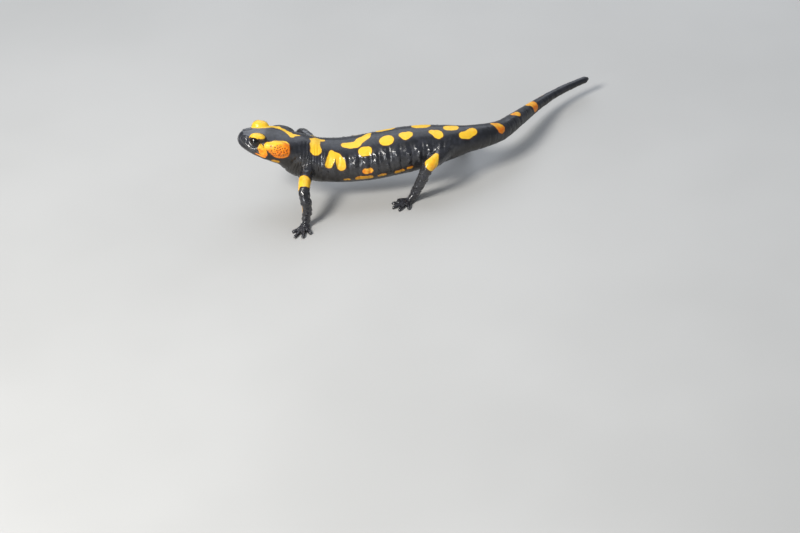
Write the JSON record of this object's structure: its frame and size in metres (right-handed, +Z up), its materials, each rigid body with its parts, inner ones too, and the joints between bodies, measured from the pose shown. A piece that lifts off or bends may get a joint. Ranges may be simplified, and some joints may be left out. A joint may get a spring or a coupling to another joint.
{
  "type": "fire salamander",
  "caption": "Life-size still model of a fire salamander standing on four legs with its head raised and its tail curving aside.",
  "frame": {"origin": "centre of the bounding box's underside, on the floor under the animal", "axes": "+X towards the tail and -X towards the snout, -Y to the animal's left side, +Z up"},
  "size_m": [0.1774, 0.1, 0.0417],
  "materials": {
    "skin_black": "moist gloss",
    "skin_yellow": "moist gloss",
    "eye": "polished"
  },
  "bodies": {
    "root": {"chest": "skin_black", "eye_left": "eye", "eye_right": "eye", "front_left_forearm": "skin_black", "front_left_hand": "skin_black", "front_left_upper_arm": "skin_black", "front_right_forearm": "skin_black", "front_right_hand": "skin_black", "front_right_upper_arm": "skin_black", "head": "skin_black", "hind_left_foot": "skin_black", "hind_left_shank": "skin_black", "hind_left_thigh": "skin_black", "hind_right_foot": "skin_black", "hind_right_shank": "skin_black", "hind_right_thigh": "skin_black", "lower_jaw": "skin_black", "neck": "skin_black", "parotoid_left": "skin_yellow", "parotoid_right": "skin_yellow", "pelvis": "skin_black", "tail_base": "skin_black", "tail_middle": "skin_black", "tail_tip": "skin_black", "trunk": "skin_black"}
  },
  "joints": []
}
